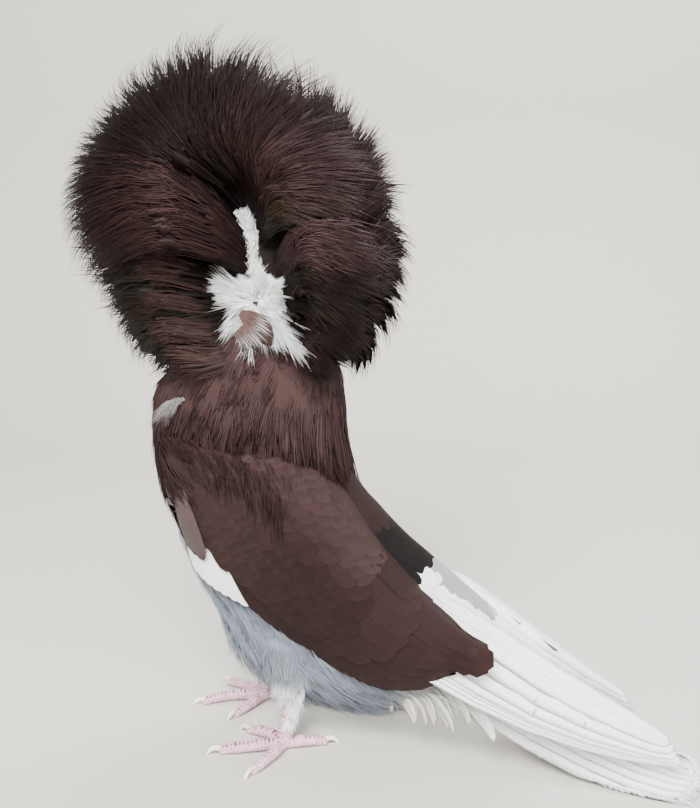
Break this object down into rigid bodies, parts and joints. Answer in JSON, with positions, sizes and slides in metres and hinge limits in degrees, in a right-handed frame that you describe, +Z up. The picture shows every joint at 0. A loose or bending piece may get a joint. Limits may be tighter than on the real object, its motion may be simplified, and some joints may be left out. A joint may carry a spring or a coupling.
{
  "type": "jacobin pigeon",
  "caption": "Standing jacobin pigeon with a great ruff of feathers round its head, as a still life-size model in separate parts.",
  "frame": {"origin": "centre of the bird's box at the level of the floor that its feet and tail tip rest on", "axes": "+Z up, the bird faces -Y and its left side is +X"},
  "size_m": [0.14, 0.3117, 0.3493],
  "materials": {
    "red_brown_plumage": "soft feather",
    "white_plumage": "soft feather",
    "grey_plumage": "soft down",
    "pink_scales": "satin",
    "pale_horn": "satin",
    "eye": "gloss"
  },
  "bodies": {
    "root": {"head": "white_plumage", "bill_upper": "pale_horn", "bill_lower": "pale_horn", "eye_left": "eye", "eye_right": "eye", "neck": "red_brown_plumage", "hood_left": "red_brown_plumage", "hood_right": "red_brown_plumage", "torso": "grey_plumage", "wing_left": "red_brown_plumage", "wing_right": "red_brown_plumage", "tail": "white_plumage", "thigh_left": "grey_plumage", "thigh_right": "grey_plumage", "foot_left": "pink_scales", "foot_right": "pink_scales", "claw_left_inner": "pale_horn", "claw_left_middle": "pale_horn", "claw_left_outer": "pale_horn", "claw_left_hind": "pale_horn", "claw_right_inner": "pale_horn", "claw_right_middle": "pale_horn", "claw_right_outer": "pale_horn", "claw_right_hind": "pale_horn"}
  },
  "joints": []
}
